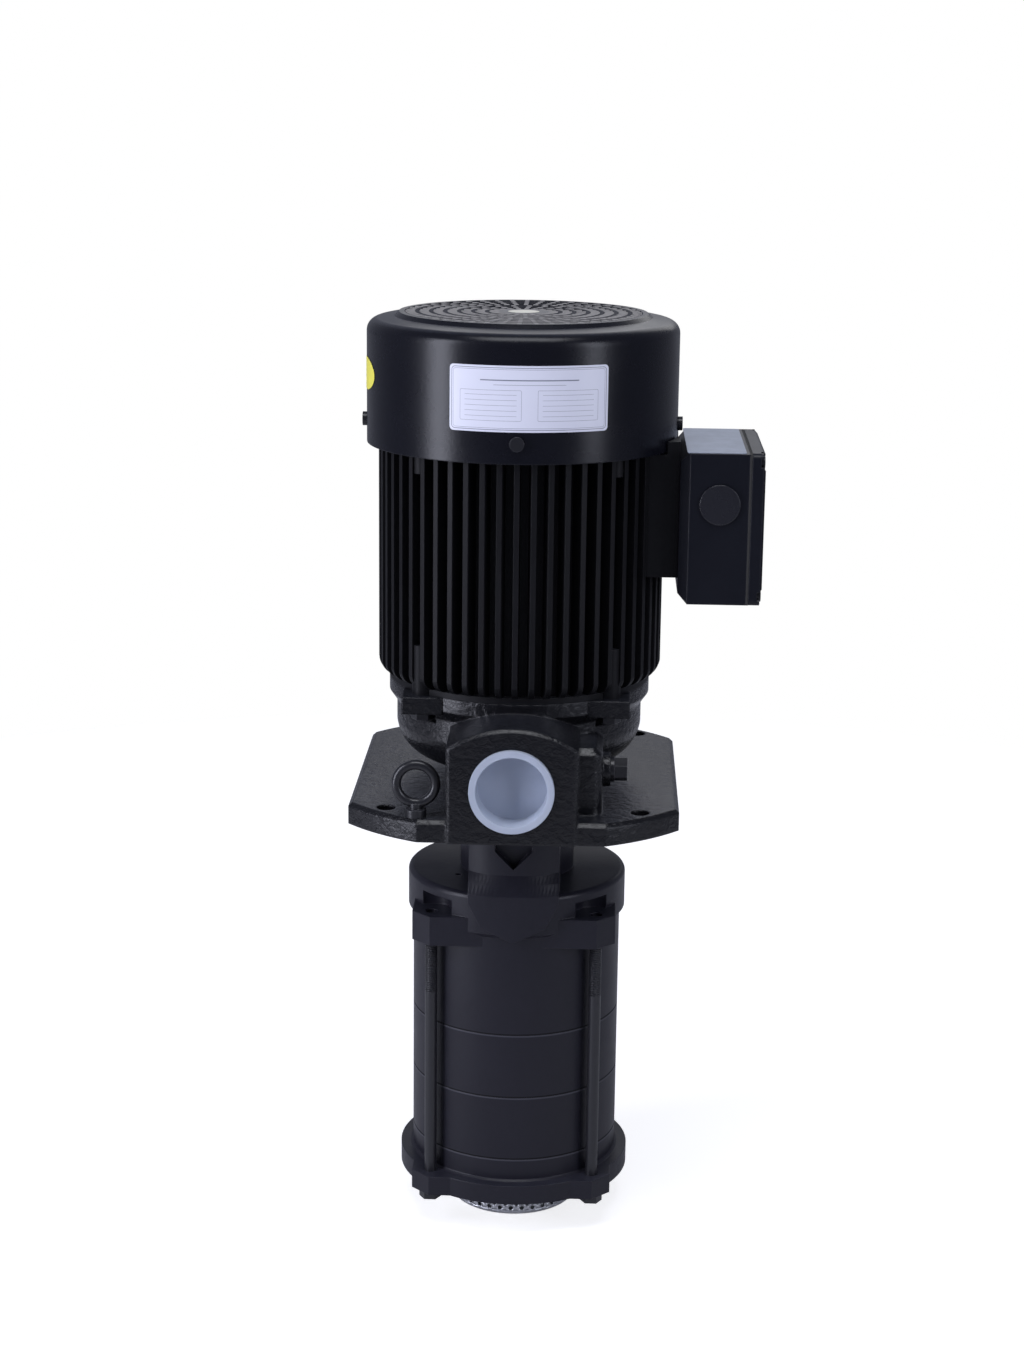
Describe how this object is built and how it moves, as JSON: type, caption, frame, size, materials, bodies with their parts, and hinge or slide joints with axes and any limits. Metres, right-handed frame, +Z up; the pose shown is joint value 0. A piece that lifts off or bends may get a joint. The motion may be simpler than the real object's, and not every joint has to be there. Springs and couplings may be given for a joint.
{
  "type": "vertical multistage pump",
  "caption": "Immersion pump: finned fan-cooled motor on a bracket with a mounting flange and side discharge, over stacked pump stages clamped by tie bolts above a suction strainer.",
  "frame": {"origin": "centre of the mounting flange's underside, on the shaft axis", "axes": "+Z up along the shaft towards the fan, -Y towards the discharge port, +X towards the terminal box"},
  "size_m": [0.259, 0.249, 0.607],
  "materials": {
    "bracket_casting": "rough casting under thick gloss black paint",
    "pump_casting": "smooth casting in satin black paint",
    "frame_casting": "finned casting in black paint",
    "aluminium_casting": "as cast",
    "cover_sheet": "pressed steel in satin black paint",
    "box_casting": "casting in satin black paint",
    "black_steel": "blackened steel",
    "bright_steel": "bright stainless or bearing steel",
    "lamination": "stacked sheet",
    "copper": "varnished copper wire",
    "bronze": "machined bronze",
    "rubber": "moulded",
    "gasket": "flat sheet",
    "ceramic": "polished ring",
    "plug_plastic": "milky moulded plastic",
    "fan_plastic": "moulded",
    "black_plastic": "moulded"
  },
  "bodies": {
    "pump_body": {"mounting_bracket": "bracket_casting", "lifting_eye": "black_steel", "vent_plug": "black_steel", "column_gasket": "gasket", "pump_column": "pump_casting", "column_bolts": "black_steel", "throttle_bush": "bronze", "stage_ring_1": "pump_casting", "stage_ring_2": "pump_casting", "wear_ring_1": "bronze", "wear_ring_2": "bronze", "wear_ring_3": "bronze", "diffuser_1": "pump_casting", "diffuser_2": "pump_casting", "diffuser_3": "pump_casting", "suction_cover": "pump_casting", "strainer": "bright_steel", "strainer_screws": "bright_steel", "tie_bolts": "black_steel", "upper_bearing_outer": "bright_steel", "lower_bearing_outer": "bright_steel", "preload_spring": "bright_steel", "seal_seat": "ceramic", "motor_frame": "frame_casting", "frame_bolts": "black_steel", "stator_core": "lamination", "stator_windings": "copper", "end_shield": "frame_casting", "shield_screws": "bright_steel", "fan_cover": "cover_sheet", "cover_screws": "black_steel", "terminal_box": "box_casting", "box_screws": "bright_steel", "box_gasket": "gasket", "box_lid": "box_casting", "lid_screws": "black_steel", "entry_plug": "black_plastic", "terminal_block": "black_plastic", "terminal_studs": "bronze"},
    "transport_plug": {"discharge_plug": "plug_plastic"},
    "rotor": {"impeller_1": "bronze", "impeller_2": "bronze", "impeller_3": "bronze", "spacer_sleeves": "bright_steel", "impeller_key": "bright_steel", "impeller_washer": "bright_steel", "impeller_nut": "bright_steel", "main_shaft": "bright_steel", "rotor_core": "lamination", "rotor_end_rings": "aluminium_casting", "cooling_fan": "fan_plastic", "fan_clip": "bright_steel", "upper_bearing_inner": "bright_steel", "lower_bearing_inner": "bright_steel", "seal_head": "rubber", "slinger": "rubber"}
  },
  "joints": [
    {"name": "shaft_spin", "type": "hinge", "parent": "pump_body", "child": "rotor", "pos_m": [0, 0, 0], "axis": [0, 0, 1], "continuous": true},
    {"name": "plug_pull", "type": "slide", "parent": "pump_body", "child": "transport_plug", "axis": [0, -1, 0], "range_m": [0, 0.03]}
  ]
}
